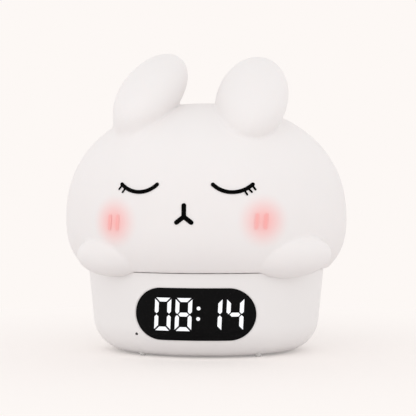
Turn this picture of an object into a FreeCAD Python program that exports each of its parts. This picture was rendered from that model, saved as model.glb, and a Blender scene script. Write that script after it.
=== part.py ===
import FreeCAD, Part
import math
import os

# Rabbit-shaped bedside clock with a night light in its head. Millimetres.
# X runs across the display, the display faces -Y, Z is up.
# The origin is the middle of the footprint, on the surface the clock stands on.

# Head: soft skin, a superellipse turned about Z and narrowed front to back
head_half_width = 62.0
head_half_depth = 52.0
head_middle_height = 58.2
crown_rise = 50.6
crown_roundness = 2.22
chin_drop = 35.2
chin_roundness = 2.5
skin_wall = 3.0
seam_height = 36.5
lip_radius = 1.3
skin_flange_thickness = 2.0
skin_flange_half_width = 43.5

# Ears: half thickness, half width, half length of each, its middle and its turn in degrees
ear_wall = 3.0
left_ear_size = (14.5, 12.1, 28.8)
left_ear_place = (-23.0, -11.1, 113.1)
left_ear_turn = (-27.1, -18.7, -57.8)
right_ear_size = (16.7, 13.5, 28.6)
right_ear_place = (21.1, -13.0, 109.7)
right_ear_turn = (-15.9, -24.5, -53.6)

# Paws: half sizes across, front to back and up; they hang over the rim of the base with a small gap
left_paw_size = (16.7, 8.9, 9.2)
left_paw_place = (-35.4, -33.3, 43.4)
left_paw_turn = (-9.8, 0.0, 15.6)
right_paw_size = (19.3, 9.1, 9.8)
right_paw_place = (37.1, -32.5, 43.7)
right_paw_turn = (15.7, -1.5, 26.2)
paw_gap = 0.25

# Face: raised strokes on the skin, the face looks a little to one side
face_turn = -4.4
stroke_raise = 0.25
stroke_depth = 0.9
eye_spacing = 39.0
eye_height = 73.5
eye_width = 15.8
eye_sag = 3.15
eye_stroke = 1.6
lash_stroke = 0.75
lash_length = 1.55
left_lashes = ((0.97, 37), (0.73, 38))
right_lashes = ((0.96, 37), (0.74, 42), (0.54, 34))
mouth_top_height = 64.9
mouth_fork_height = 60.3
mouth_end_height = 57.95
mouth_half_width = 3.05
mouth_stroke = 1.9
cheek_spacing = 62.2
left_cheek_height = 57.6
right_cheek_height = 58.35
cheek_bar_spacing = 3.6
cheek_bar_width = 1.5
cheek_bar_length = 6.7
cheek_bar_lean = 4.8

# Base: a tapered tub with a large bottom corner
rim_height = 36.3
rim_half_width = 52.0
rim_half_depth = 43.6
base_clearance_below = 0.4
base_taper = 5.75
base_corner_radius = 14.6
base_wall = 2.4

# Display: a dark lens set in the front of the base, with seven-segment digits
lens_height = 19.2
lens_shift = -0.7
lens_width = 51.0
lens_tall = 22.3
lens_fit = 0.1
lens_recess = 0.2
lens_flange = 1.6
lens_flange_thickness = 1.0
lens_rebate = 0.45
lens_rebate_depth = 0.3
digits_shift = 0.95
digit_tall = 13.9
digit_wide = 7.04
digit_stroke = 1.66
digit_gap = 0.5
digit_slant = 3.0
digit_pitch = 8.9
colon_space = 12.5
colon_dot_radius = 0.8
colon_dot_spacing = 4.4
colon_rise = 0.45
shown_time = "0814"
module_width = 46.0
module_tall = 18.0
module_gap = 0.2
module_back = 30.0
board_thickness = 1.6
display_board_width = 51.4
display_board_low = 13.4
display_board_tall = 15.5
rail_thickness = 3.0
rail_groove = 1.5
rail_lip = 1.3
rail_stop = 0.6
rail_fit = 0.1
flange_relief = 0.2

# Microphone hole beside the display
microphone_x = -26.0
microphone_height = 10.2
microphone_hole_radius = 0.65
microphone_radius = 2.0
microphone_length = 2.0
microphone_gap = 0.3
microphone_fit = 0.1
collar_wall = 0.8
collar_length = 1.5

# Underside: cover, ledge, bosses and screws
cover_half_width = 34.0
cover_half_depth = 28.5
cover_thickness = 2.6
cover_fit = 0.15
ledge_width = 4.0
ledge_thickness = 2.2
ledge_wall = 3.6
post_x = 24.0
post_y = 15.0
boss_radius = 3.6
boss_top = 14.0
post_radius = 3.2
case_screw_radius = 1.3
case_screw_clearance = 0.3
case_screw_head_radius = 2.5
case_screw_head_depth = 1.5
case_screw_head_height = 1.35
case_screw_grip = 9.0
screw_slot_width_share = 0.3
screw_slot_depth_share = 0.5
screw_slot_reach_share = 0.7
grille_hole_radius = 1.1
grille_ring_pitch = 4.2
grille_ring_count = 2

# Feet: clear beads under the rounded edge of the base, flat where they stand
foot_x = 24.8
foot_y = 25.5
foot_radius = 1.45
foot_middle_height = 1.0

# Deck, clamp ring and the light under the skin
deck_thickness = 2.0
deck_fit = 0.2
clamp_inner_half_width = 44.0
clamp_outer_half_width = 50.0
clamp_thickness = 2.0
clamp_gap = 0.1
clamp_screw_half_width = 47.0
clamp_screw_radius = 1.0
clamp_screw_head_radius = 2.2
clamp_screw_head_height = 1.3
clamp_screw_angle = 45.0
clamp_screw_clearance = 0.2
dome_radius = 33.5
dome_rise = 30.0
dome_roundness = 2.3
dome_wall = 1.6
dome_foot_radius = 36.0
dome_foot_thickness = 1.6
light_board_radius = 26.0
light_board_lift = 3.0
standoff_radius = 3.0
standoff_ring_radius = 21.0
light_screw_radius = 1.0
light_screw_head_radius = 2.0
light_screw_head_height = 1.2
led_size = 5.0
led_height = 1.4
led_ring_radius = 14.5
led_count = 8
tap_sensor_radius = 2.0
tap_sensor_length = 6.5
tap_sensor_x = 6.0
tap_sensor_y = 0.0
wire_hole_radius = 3.0
wire_hole_y = 17.5

# Main board and what is on it
main_board_half_width = 35.0
main_board_front = 19.0
main_board_back = 31.0
main_board_edge_gap = 2.0
chip_size = 9.0
chip_height = 1.2
chip_spacing = 16.0
chip_y = 0.0

# Buttons on the back, each with its own switch
button_names = ["alarm", "set", "down", "up"]
button_pitch = 12.5
button_height = 21.1
button_radius = 3.6
button_fit = 0.2
button_proud = 0.9
button_flange = 1.1
button_flange_thickness = 1.0
button_flange_gap = 0.2
button_stem_radius = 1.3
button_travel = 0.6
switch_size = 6.0
switch_depth = 3.6
switch_front = 28.0
plunger_radius = 1.7
plunger_fit = 0.1
plunger_length = 2.2
plunger_stand_out = 1.2

# Power switch and charging port, on the underside of the main board
port_width = 8.94
port_tall = 3.26
port_length = 7.35
port_shell = 0.3
port_depth = 6.2
port_tongue_width = 6.69
port_tongue_thickness = 0.7
port_tongue_length = 4.45
port_mouth = 41.0
port_fit = 0.15
slider_x = 17.0
slider_travel = 2.0
slider_width = 3.0
slider_tall = 2.2
slider_proud = 0.7
slider_fit = 0.2
slider_case_width = 9.0
slider_case_depth = 4.4
slider_case_tall = 3.6
slider_case_back = 33.5
slider_case_wall = 0.6

# Speaker, battery and wiring
speaker_radius = 14.0
speaker_tall = 5.0
speaker_gap = 0.1
speaker_cone_radius = 11.5
speaker_cone_inner_radius = 8.5
speaker_cone_depth = 1.0
battery_length = 54.0
battery_width = 20.0
battery_tall = 8.0
battery_corner = 2.0
battery_fit = 0.3
tray_wall = 1.2
tray_notch_width = 7.0
tray_notch_tall = 6.0
wire_radius = 0.6
wire_spacing = 1.6
battery_wire_reach = 5.0
battery_wire_bend = 2.5
speaker_wire_end = 1.6
speaker_wire_shift = 2.5
speaker_wire_bend = 1.5
light_wire_end = 5.4
light_wire_slack = 1.5
light_wire_bend = 12.0
ribbon_width = 12.0
ribbon_thickness = 0.4
ribbon_height = 4.5
ribbon_run = 5.0
ribbon_slope = 3.2
ribbon_foot = 4.8

far = 200.0
big = 2 * far
margin = 1.0
face_front = -1.5 * head_half_depth
face_back = -0.25 * head_half_depth
face_half_width = 0.8 * head_half_width
face_low = min(left_cheek_height, right_cheek_height) - cheek_bar_length
face_high = eye_height + eye_width
vector = FreeCAD.Vector


def narrowed(shape, ratio):
    # The shape with its Y sizes multiplied by ratio
    matrix = FreeCAD.Matrix()
    matrix.scale(1.0, ratio, 1.0)
    return shape.transformGeometry(matrix)


def turned_outline(edges):
    # A closed outline in the XZ plane, turned about Z
    face = Part.Face(Part.Wire(edges))
    return face.revolve(vector(0, 0, 0), vector(0, 0, 1), 360)


def slab(low, high):
    # Everything between two heights
    return Part.makeBox(big, big, high - low, vector(-far, -far, low))


def ellipse_plate(half_width, half_depth, low, high):
    # An upright elliptic plate between two heights
    long_way = half_width >= half_depth
    major = max(half_width, half_depth)
    minor = min(half_width, half_depth)
    curve = Part.Ellipse(vector(0, 0, low), major, minor)
    face = Part.Face(Part.Wire([curve.toShape()]))
    if not long_way:
        face.rotate(vector(0, 0, 0), vector(0, 0, 1), 90)
    return face.extrude(vector(0, 0, high - low))


def rod(radius, start, end):
    # A round bar from one point to another
    axis = vector(*end) - vector(*start)
    return Part.makeCylinder(radius, axis.Length, vector(*start), axis)


def block(width, depth, tall, middle_x, front_y, low_z):
    # A box given by its middle in X, its lowest Y and its lowest Z
    return Part.makeBox(width, depth, tall, vector(middle_x - width / 2, front_y, low_z))


def stadium(width, tall, middle_x, middle_z, start_y, end_y):
    # A bar along Y whose section is a rectangle with half-round ends
    radius = tall / 2
    reach = width / 2 - radius
    left_end = vector(middle_x - reach, start_y, middle_z)
    right_end = vector(middle_x + reach, start_y, middle_z)
    up = vector(0, 0, radius)
    out = vector(radius, 0, 0)
    edges = [
        Part.LineSegment(left_end + up, right_end + up).toShape(),
        Part.Arc(right_end + up, right_end + out, right_end - up).toShape(),
        Part.LineSegment(right_end - up, left_end - up).toShape(),
        Part.Arc(left_end - up, left_end - out, left_end + up).toShape(),
    ]
    return Part.Face(Part.Wire(edges)).extrude(vector(0, end_y - start_y, 0))


def polygon_bar(points, start_y, end_y):
    # A bar along Y whose section is a polygon of (x, z) corners
    corners = [vector(x, start_y, z) for x, z in points]
    face = Part.Face(Part.makePolygon(corners + corners[:1]))
    return face.extrude(vector(0, end_y - start_y, 0))


def joined(shapes):
    # Overlapping shapes as one solid
    first = shapes[0]
    if len(shapes) > 1:
        first = first.multiFuse(shapes[1:])
    return first


def grouped(shapes):
    # Separate solids kept in one node
    solids = []
    for shape in shapes:
        solids.extend(shape.Solids)
    return Part.makeCompound(solids)


def head_radius(height, grow):
    # Half width of the head at a height: (r / width)^n + (rise / reach)^n = 1
    width = head_half_width + grow
    if height >= head_middle_height:
        share = (height - head_middle_height) / (crown_rise + grow)
        roundness = crown_roundness
    else:
        share = (head_middle_height - height) / (chin_drop + grow)
        roundness = chin_roundness
    return width * max(0.0, 1.0 - share ** roundness) ** (1.0 / roundness)


def head_form(grow, bottom, edge_radius):
    # The head, larger by grow all round, cut flat at the height bottom
    start_height = bottom + edge_radius
    points = []
    for step in range(6):
        height = start_height + (head_middle_height - start_height) * step / 6
        points.append(vector(head_radius(height, grow), 0, height))
    for step in range(13):
        angle = math.radians(90) * step / 12
        across = math.cos(angle) ** (2 / crown_roundness) if step < 12 else 0.0
        upward = math.sin(angle) ** (2 / crown_roundness)
        rise = crown_rise + grow
        points.append(vector((head_half_width + grow) * across, 0, head_middle_height + rise * upward))
    curve = Part.BSplineCurve()
    start_tangent = points[1] - points[0]
    curve.interpolate(Points=points, InitialTangent=start_tangent, FinalTangent=vector(-1, 0, 0))
    low_out = points[0]
    low_in = vector(low_out.x - edge_radius, 0, bottom)
    foot = vector(0, 0, bottom)
    edges = [Part.LineSegment(foot, low_in if edge_radius > 0 else low_out).toShape()]
    if edge_radius > 0:
        slope = edge_radius * math.sqrt(0.5)
        middle = vector(low_in.x + slope, 0, start_height - slope)
        edges.append(Part.Arc(low_in, middle, low_out).toShape())
    edges.append(curve.toShape())
    edges.append(Part.LineSegment(points[-1], foot).toShape())
    return narrowed(turned_outline(edges), (head_half_depth + grow) / (head_half_width + grow))


def base_form(inset, top):
    # The base, smaller by inset all round, with a flat top at the height top
    taper = math.radians(base_taper)
    corner_height = base_clearance_below + base_corner_radius
    line_start = rim_half_width - base_corner_radius / math.cos(taper)
    corner_x = line_start - (rim_height - corner_height) * math.tan(taper)
    radius = base_corner_radius - inset
    half_turn = (math.radians(90) + taper) / 2
    middle_x = corner_x + radius * math.cos(half_turn)
    middle_z = corner_height - radius * math.sin(half_turn)
    tangent_x = corner_x + radius * math.cos(taper)
    tangent_z = corner_height - radius * math.sin(taper)
    top_x = rim_half_width - inset / math.cos(taper) - (rim_height - top) * math.tan(taper)
    foot = vector(0, 0, corner_height - radius)
    corner_start = vector(corner_x, 0, foot.z)
    corner_middle = vector(middle_x, 0, middle_z)
    corner_end = vector(tangent_x, 0, tangent_z)
    rim = vector(top_x, 0, top)
    peak = vector(0, 0, top)
    edges = [
        Part.LineSegment(foot, corner_start).toShape(),
        Part.Arc(corner_start, corner_middle, corner_end).toShape(),
        Part.LineSegment(corner_end, rim).toShape(),
        Part.LineSegment(rim, peak).toShape(),
        Part.LineSegment(peak, foot).toShape(),
    ]
    return narrowed(turned_outline(edges), (rim_half_depth - inset) / (rim_half_width - inset))


def egg(size, place, turn):
    # An ellipsoid with three half sizes, turned and put in its place
    ball_radius = 10.0
    matrix = FreeCAD.Matrix()
    matrix.scale(size[0] / ball_radius, size[1] / ball_radius, size[2] / ball_radius)
    shape = Part.makeSphere(ball_radius).transformGeometry(matrix)
    shape.Placement = FreeCAD.Placement(vector(*place), FreeCAD.Rotation(*turn))
    return shape


def smaller(size, wall):
    # The same half sizes, less a wall
    return tuple(value - wall for value in size)


def face_bar(start, end, width):
    # A straight stroke from one (x, z) point to another, with round ends, as a bar along Y
    begin = vector(start[0], face_front, start[1])
    finish = vector(end[0], face_front, end[1])
    along = (finish - begin).normalize() * (width / 2)
    side = vector(-along.z, 0, along.x)
    edges = [
        Part.LineSegment(begin + side, finish + side).toShape(),
        Part.Arc(finish + side, finish + along, finish - side).toShape(),
        Part.LineSegment(finish - side, begin - side).toShape(),
        Part.Arc(begin - side, begin - along, begin + side).toShape(),
    ]
    return Part.Face(Part.Wire(edges)).extrude(vector(0, face_back - face_front, 0))


def eye_bar(side):
    # A closed eye: an arc that sags, with short lashes at its outer end, each given by
    # its place along the outer half of the arc and its lean in degrees
    half = eye_width / 2
    radius = (half ** 2 + eye_sag ** 2) / (2 * eye_sag)
    centre_x = side * eye_spacing / 2
    centre_z = eye_height - eye_sag + radius
    reach = math.asin(half / radius)

    def on_arc(distance, angle):
        x = centre_x + distance * math.sin(angle)
        return vector(x, face_front, centre_z - distance * math.cos(angle))

    outer = radius + eye_stroke / 2
    inner = radius - eye_stroke / 2
    ends = [on_arc(radius, -reach), on_arc(radius, reach)]
    edges = [
        Part.Arc(on_arc(outer, -reach), on_arc(outer, 0), on_arc(outer, reach)).toShape(),
        Part.LineSegment(on_arc(outer, reach), on_arc(inner, reach)).toShape(),
        Part.Arc(on_arc(inner, reach), on_arc(inner, 0), on_arc(inner, -reach)).toShape(),
        Part.LineSegment(on_arc(inner, -reach), on_arc(outer, -reach)).toShape(),
    ]
    parts = [Part.Face(Part.Wire(edges)).extrude(vector(0, face_back - face_front, 0))]
    for end in ends:
        parts.append(rod(eye_stroke / 2, end, (end.x, face_back, end.z)))
    for share, lean in (left_lashes if side < 0 else right_lashes):
        root = on_arc(radius, side * reach * share)
        tip_distance = eye_stroke / 2 + lash_length
        tip_x = root.x + side * tip_distance * math.sin(math.radians(lean))
        tip_z = root.z - tip_distance * math.cos(math.radians(lean))
        parts.append(face_bar((root.x, root.z), (tip_x, tip_z), lash_stroke))
    return joined(parts)


def mouth_bar():
    # An upside-down Y
    fork = (0, mouth_fork_height)
    parts = [face_bar((0, mouth_top_height), fork, mouth_stroke)]
    for side in (-1, 1):
        parts.append(face_bar(fork, (side * mouth_half_width, mouth_end_height), mouth_stroke))
    return joined(parts)


def cheek_bars():
    # Two short upright bars on each cheek
    bars = []
    lean = math.tan(math.radians(cheek_bar_lean)) * (cheek_bar_length - cheek_bar_width) / 2
    reach = (cheek_bar_length - cheek_bar_width) / 2
    for side, height in ((-1, left_cheek_height), (1, right_cheek_height)):
        for step in (-0.5, 0.5):
            middle = side * cheek_spacing / 2 + step * cheek_bar_spacing
            top = (middle + lean, height + reach)
            bottom = (middle - lean, height - reach)
            bars.append(face_bar(bottom, top, cheek_bar_width))
    return bars


def head_parts():
    # The skin with its ears and paws, and the strokes of the face set into it
    outer = joined([
        head_form(0, seam_height, lip_radius),
        egg(left_ear_size, left_ear_place, left_ear_turn),
        egg(right_ear_size, right_ear_place, right_ear_turn),
        egg(left_paw_size, left_paw_place, left_paw_turn),
        egg(right_paw_size, right_paw_place, right_paw_turn),
    ])
    inner = joined([
        head_form(-skin_wall, flange_top, 0),
        egg(smaller(left_ear_size, ear_wall), left_ear_place, left_ear_turn),
        egg(smaller(right_ear_size, ear_wall), right_ear_place, right_ear_turn),
    ])
    flange_ratio = rim_half_depth / rim_half_width
    mouth_of_skin = ellipse_plate(skin_flange_half_width, skin_flange_half_width * flange_ratio,
                                  seam_height - margin, flange_top + margin)
    skin = outer.cut(inner).cut(mouth_of_skin).cut(base_form(-paw_gap, seam_height))
    for x, y in clamp_points:
        skin = skin.cut(rod(clamp_screw_radius + clamp_screw_clearance, (x, y, seam_height - margin),
                            (x, y, flange_top + margin)))
    face_patch = Part.makeBox(2 * face_half_width, face_back - face_front, face_high - face_low,
                              vector(-face_half_width, face_front, face_low))
    proud = face_patch.common(head_form(stroke_raise, seam_height, 0))
    outside = face_patch.cut(head_form(stroke_raise - stroke_depth, seam_height, 0))
    named_bars = {"eye_left": [eye_bar(-1)], "eye_right": [eye_bar(1)], "mouth": [mouth_bar()],
                  "cheek_marks": cheek_bars()}
    nodes = {}
    for name, bars in named_bars.items():
        pieces = []
        for bar in bars:
            bar.rotate(vector(0, 0, 0), vector(0, 0, 1), face_turn)
            recess = outside.common(bar)
            pieces.append(recess.common(proud))
            skin = skin.cut(recess)
        nodes[name] = grouped(pieces)
    nodes["head_skin"] = skin
    return nodes


def mirrored_points(middle_x, middle_y):
    # The four places of a rectangle about the Z axis
    return [(x, y) for x in (-middle_x, middle_x) for y in (-middle_y, middle_y)]


def ring_points(count, radius, start_angle, ratio):
    # Places on an ellipse with its half depth ratio times its half width
    places = []
    for index in range(count):
        angle = math.radians(start_angle + index * 360 / count)
        places.append((radius * math.cos(angle), radius * ratio * math.sin(angle)))
    return places


base_ratio = rim_half_depth / rim_half_width
cover_top = base_clearance_below + cover_thickness
flange_top = seam_height + skin_flange_thickness
window_end = -module_back - rail_lip
deck_low = rim_height - deck_thickness
main_board_top = boss_top + board_thickness
lower_row_height = boss_top - port_tall / 2
button_places = [(index - (len(button_names) - 1) / 2) * button_pitch for index in range(len(button_names))]
posts = mirrored_points(post_x, post_y)
feet = mirrored_points(foot_x, foot_y)
clamp_points = ring_points(4, clamp_screw_half_width, clamp_screw_angle, base_ratio)
standoffs = ring_points(4, standoff_ring_radius, 45, 1)


def window_bar(grow):
    # The display window's outline as a bar through the front of the base
    return stadium(lens_width + 2 * grow, lens_tall + 2 * grow, lens_shift, lens_height, -far, window_end)


def flange_room():
    # The space that the lens flange takes behind the wall, with a little air round it
    grow = lens_flange + flange_relief
    return stadium(lens_width + 2 * grow, lens_tall + 2 * grow, lens_shift, lens_height, -far,
                   window_end + flange_relief)


def base_shell():
    # The tub with its window, ledge, bosses, rails and the openings in its back
    shell = base_form(0, rim_height).cut(base_form(base_wall, rim_height + margin))
    ledge_half_width = cover_half_width - ledge_width
    ledge_half_depth = cover_half_depth - ledge_width
    ledge_top = cover_top + ledge_thickness
    ledge = ellipse_plate(cover_half_width + ledge_wall, cover_half_depth + ledge_wall,
                          base_clearance_below + base_wall / 2, ledge_top)
    inside = base_form(base_wall / 2, rim_height)
    added = [ledge.common(inside)]
    for x, y in posts:
        added.append(rod(boss_radius, (x, y, cover_top), (x, y, boss_top)))
    added.extend(rail(side).common(inside) for side in (-1, 1))
    added.append(collar().common(inside))
    shell = joined([shell] + added)
    cuts = [
        ellipse_plate(cover_half_width, cover_half_depth, -1, cover_top),
        ellipse_plate(ledge_half_width, ledge_half_depth, -1, ledge_top + margin).cut(
            joined([rod(boss_radius, (x, y, cover_top), (x, y, boss_top)) for x, y in posts])),
        window_bar(0),
        window_bar(lens_rebate).cut(base_form(lens_rebate_depth, rim_height + margin)),
    ]
    for x, y in posts:
        cuts.append(rod(case_screw_radius + case_screw_clearance, (x, y, 0), (x, y, boss_top + margin)))
    hole_start = (microphone_x, -far, microphone_height)
    hole_end = (microphone_x, -rim_half_depth / 2, microphone_height)
    cuts.append(rod(microphone_hole_radius, hole_start, hole_end))
    for x in button_places:
        cuts.append(rod(button_radius + button_fit, (x, rim_half_depth / 2, button_height),
                        (x, far, button_height)))
    cuts.append(stadium(port_width + 2 * port_fit, port_tall + 2 * port_fit, 0, lower_row_height,
                        rim_half_depth / 2, far))
    slot_width = slider_width + slider_travel + 2 * slider_fit
    cuts.append(block(slot_width, far, slider_tall + 2 * slider_fit, slider_x + slider_travel / 2,
                      slider_case_back, lower_row_height - slider_tall / 2 - slider_fit))
    return shell.cut(joined(cuts[:2])).cut(Part.makeCompound(cuts[2:4])).cut(Part.makeCompound(cuts[4:]))


def rail(side):
    # An upright rail on the wall, with a groove that holds one end of the display board
    inner_x = display_board_width / 2 - rail_groove
    back = -module_back + board_thickness + rail_lip
    solid = Part.makeBox(rail_thickness, back + rim_half_depth, display_board_tall + rail_stop,
                         vector(inner_x, -rim_half_depth, display_board_low - rail_stop))
    groove = Part.makeBox(rail_groove + rail_fit, board_thickness + 2 * rail_fit,
                          display_board_tall + margin,
                          vector(inner_x, -module_back - rail_fit, display_board_low))
    shape = solid.cut(groove)
    if side < 0:
        shape = shape.mirror(vector(0, 0, 0), vector(1, 0, 0))
    return shape.cut(flange_room())


def microphone_front():
    # Where the capsule's front lies: just behind the wall at its lowest outer edge
    return -base_reach(base_wall + microphone_gap, abs(microphone_x) + microphone_radius,
                       microphone_height - microphone_radius)


def collar():
    # A round socket on the wall that holds the microphone
    front = microphone_front()
    outer_radius = microphone_radius + microphone_fit + collar_wall
    outer = rod(outer_radius, (microphone_x, -rim_half_depth, microphone_height),
                (microphone_x, front + collar_length, microphone_height))
    bore = rod(microphone_radius + microphone_fit, (microphone_x, front, microphone_height),
               (microphone_x, front + collar_length + margin, microphone_height))
    return outer.cut(bore).cut(flange_room())


def segment_outlines():
    # The seven bars of a digit as (x, z) corners about its middle, mitred where they meet
    right = digit_wide / 2
    top = digit_tall / 2
    stroke = digit_stroke
    gap = digit_gap
    tip = gap / 2
    upper_right = [(right, top - gap), (right, stroke / 2 + tip), (right - stroke / 2, tip),
                   (right - stroke, stroke / 2 + tip), (right - stroke, top - stroke - gap)]
    top_bar = [(-right + gap, top), (right - gap, top), (right - stroke - gap, top - stroke),
               (-right + stroke + gap, top - stroke)]
    end = right - stroke / 2 - gap
    half = stroke / 2
    middle_bar = [(-end, 0), (-end + half, half), (end - half, half),
                  (end, 0), (end - half, -half), (-end + half, -half)]
    return {
        "a": top_bar,
        "b": upper_right,
        "c": [(x, -z) for x, z in upper_right],
        "d": [(x, -z) for x, z in top_bar],
        "e": [(-x, -z) for x, z in upper_right],
        "f": [(-x, z) for x, z in upper_right],
        "g": middle_bar,
    }


lit_bars = {"0": "abcdef", "1": "bc", "2": "abdeg", "3": "abcdg", "4": "bcfg", "5": "acdfg",
            "6": "acdefg", "7": "abc", "8": "abcdefg", "9": "abcdfg"}


def display_parts():
    # The lens, its lit and unlit bars, and the block and board behind it
    front = base_form(lens_recess, rim_height)
    flange_start = base_wall + lens_fit / 2
    lens = window_bar(-lens_fit).common(front.cut(base_form(flange_start, rim_height + margin)))
    flange_back = base_form(flange_start + lens_flange_thickness, rim_height + margin)
    flange_layer = base_form(flange_start, rim_height).cut(flange_back)
    lens = joined([lens, window_bar(lens_flange).common(flange_layer)])
    slant = math.tan(math.radians(digit_slant))
    inner = colon_space / 2
    middles = [-inner - digit_pitch, -inner, inner, inner + digit_pitch]
    lit = []
    unlit = []
    for middle, figure in zip(middles, shown_time):
        for bar_name, outline in segment_outlines().items():
            points = [(digits_shift + middle + x + z * slant, lens_height + z) for x, z in outline]
            bar = polygon_bar(points, -far, window_end)
            if bar_name in lit_bars[figure]:
                lit.append(bar)
            else:
                unlit.append(bar)
    for side in (-1, 1):
        z = colon_rise + side * colon_dot_spacing / 2
        x = digits_shift + z * slant
        lit.append(rod(colon_dot_radius, (x, -far, lens_height + z), (x, window_end, lens_height + z)))
    nodes = {
        "lit_segments": lens.common(Part.makeCompound(lit)),
        "unlit_segments": lens.common(Part.makeCompound(unlit)),
        "display_lens": lens.cut(Part.makeCompound(lit + unlit)),
    }
    module_limit = base_form(flange_start + lens_flange_thickness + module_gap, rim_height)
    module_box = block(module_width, far, module_tall, 0, -module_back - far, lens_height - module_tall / 2)
    nodes["display_module"] = module_box.common(module_limit)
    nodes["display_board"] = block(display_board_width, board_thickness, display_board_tall, 0, -module_back,
                                   display_board_low)
    return nodes


def microphone():
    # A small capsule behind its hole
    front = microphone_front()
    return rod(microphone_radius, (microphone_x, front, microphone_height),
               (microphone_x, front + microphone_length, microphone_height))


def bottom_cover():
    # A plate that closes the underside, with a sound grille and four sunk screw holes
    plate = ellipse_plate(cover_half_width - cover_fit, cover_half_depth - cover_fit, base_clearance_below,
                          cover_top)
    holes = [(0, 0)]
    for ring in range(1, grille_ring_count + 1):
        holes.extend(ring_points(6 * ring, ring * grille_ring_pitch, 0, 1))
    cuts = [rod(grille_hole_radius, (x, y, 0), (x, y, cover_top + margin)) for x, y in holes]
    for x, y in posts:
        cuts.append(rod(case_screw_radius + case_screw_clearance, (x, y, 0), (x, y, cover_top + margin)))
        sunk = base_clearance_below + case_screw_head_depth
        cuts.append(rod(case_screw_head_radius + case_screw_clearance, (x, y, 0), (x, y, sunk)))
    return plate.cut(Part.makeCompound(cuts))


def screw(x, y, head_z, head_radius, head_tall, shank_radius, tip_z):
    # A pan-head screw with a cross slot; the head lies away from the tip
    direction = 1 if head_z > tip_z else -1
    head_end = head_z + direction * head_tall
    low, high = sorted((head_z, head_end))
    head = rod(head_radius, (x, y, low), (x, y, high))
    shank_low, shank_high = sorted((tip_z, head_z))
    shank = rod(shank_radius, (x, y, shank_low), (x, y, shank_high))
    slot_width = head_radius * screw_slot_width_share
    slot_depth = head_tall * screw_slot_depth_share
    slot_reach = head_radius * screw_slot_reach_share
    slot_low = head_end - slot_depth if direction > 0 else head_end
    across = block(2 * slot_reach, slot_width, slot_depth, x, y - slot_width / 2, slot_low)
    upright = block(slot_width, 2 * slot_reach, slot_depth, x, y - slot_reach, slot_low)
    return joined([head, shank]).cut(joined([across, upright]))


def case_screws():
    # Long screws from below, through cover, bosses and board into the deck's posts
    head_z = base_clearance_below + case_screw_head_depth
    tip_z = main_board_top + case_screw_grip
    return grouped([screw(x, y, head_z, case_screw_head_radius, case_screw_head_height,
                          case_screw_radius, tip_z) for x, y in posts])


def rubber_feet():
    # Four clear beads, flat underneath, where the underside of the base curves up
    body = base_form(0, rim_height)
    solids = []
    for x, y in feet:
        bead = Part.makeSphere(foot_radius, vector(x, y, foot_middle_height))
        floor = block(4 * foot_radius, 4 * foot_radius, foot_radius, x, y - 2 * foot_radius, -foot_radius)
        solids.append(bead.cut(floor).cut(body))
    return grouped(solids)


def top_deck():
    # The plate that closes the base, with posts below and standoffs above
    plate = base_form(base_wall + deck_fit, rim_height).common(slab(deck_low, rim_height))
    parts = [plate]
    cuts = []
    for x, y in posts:
        parts.append(rod(post_radius, (x, y, main_board_top), (x, y, deck_low)))
        cuts.append(rod(case_screw_radius, (x, y, main_board_top - margin),
                        (x, y, main_board_top + case_screw_grip)))
    for x, y in standoffs:
        parts.append(rod(standoff_radius, (x, y, rim_height), (x, y, rim_height + light_board_lift)))
        cuts.append(rod(light_screw_radius, (x, y, rim_height),
                        (x, y, rim_height + light_board_lift + margin)))
    for x, y in clamp_points:
        cuts.append(rod(clamp_screw_radius, (x, y, deck_low - margin), (x, y, rim_height + margin)))
    cuts.append(rod(wire_hole_radius, (0, wire_hole_y, deck_low - margin),
                    (0, wire_hole_y, rim_height + margin)))
    return joined(parts).cut(Part.makeCompound(cuts))


clamp_low = flange_top + clamp_gap
clamp_top = clamp_low + clamp_thickness


def clamp_ring():
    # The ring that presses the skin's flange onto the deck
    ring = ellipse_plate(clamp_outer_half_width, clamp_outer_half_width * base_ratio, clamp_low, clamp_top)
    ring = ring.cut(ellipse_plate(clamp_inner_half_width, clamp_inner_half_width * base_ratio,
                                  clamp_low - margin, clamp_top + margin))
    holes = [rod(clamp_screw_radius, (x, y, clamp_low - margin), (x, y, clamp_top + margin))
             for x, y in clamp_points]
    return ring.cut(Part.makeCompound(holes))


def clamp_screws():
    # Short screws through the ring and the skin's flange into the deck
    return grouped([screw(x, y, clamp_top, clamp_screw_head_radius, clamp_screw_head_height,
                          clamp_screw_radius, deck_low) for x, y in clamp_points])


def dome_outline(radius, rise, low):
    # Half of a superellipse arch standing on the height low
    points = []
    for step in range(10):
        angle = math.radians(90) * step / 9
        across = math.cos(angle) ** (2 / dome_roundness) if step < 9 else 0.0
        upward = math.sin(angle) ** (2 / dome_roundness)
        points.append(vector(radius * across, 0, low + rise * upward))
    curve = Part.BSplineCurve()
    curve.interpolate(Points=points, InitialTangent=vector(0, 0, 1), FinalTangent=vector(-1, 0, 0))
    foot = vector(0, 0, low)
    return [Part.LineSegment(foot, points[0]).toShape(), curve.toShape(),
            Part.LineSegment(points[-1], foot).toShape()]


def diffuser_dome():
    # A thin round dome over the lights, standing on the deck by its foot
    outer = turned_outline(dome_outline(dome_radius, dome_rise, rim_height))
    inner = turned_outline(dome_outline(dome_radius - dome_wall, dome_rise - dome_wall + margin,
                                        rim_height - margin))
    foot = rod(dome_foot_radius, (0, 0, rim_height), (0, 0, rim_height + dome_foot_thickness))
    return joined([outer, foot]).cut(inner)


light_board_low = rim_height + light_board_lift
light_board_top = light_board_low + board_thickness


def light_board():
    # A round board on the deck's standoffs
    board = rod(light_board_radius, (0, 0, light_board_low), (0, 0, light_board_top))
    holes = [rod(light_screw_radius, (x, y, light_board_low - margin), (x, y, light_board_top + margin))
             for x, y in standoffs]
    return board.cut(Part.makeCompound(holes))


def light_board_screws():
    # Four small screws into the standoffs
    return grouped([screw(x, y, light_board_top, light_screw_head_radius, light_screw_head_height,
                          light_screw_radius, rim_height) for x, y in standoffs])


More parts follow.
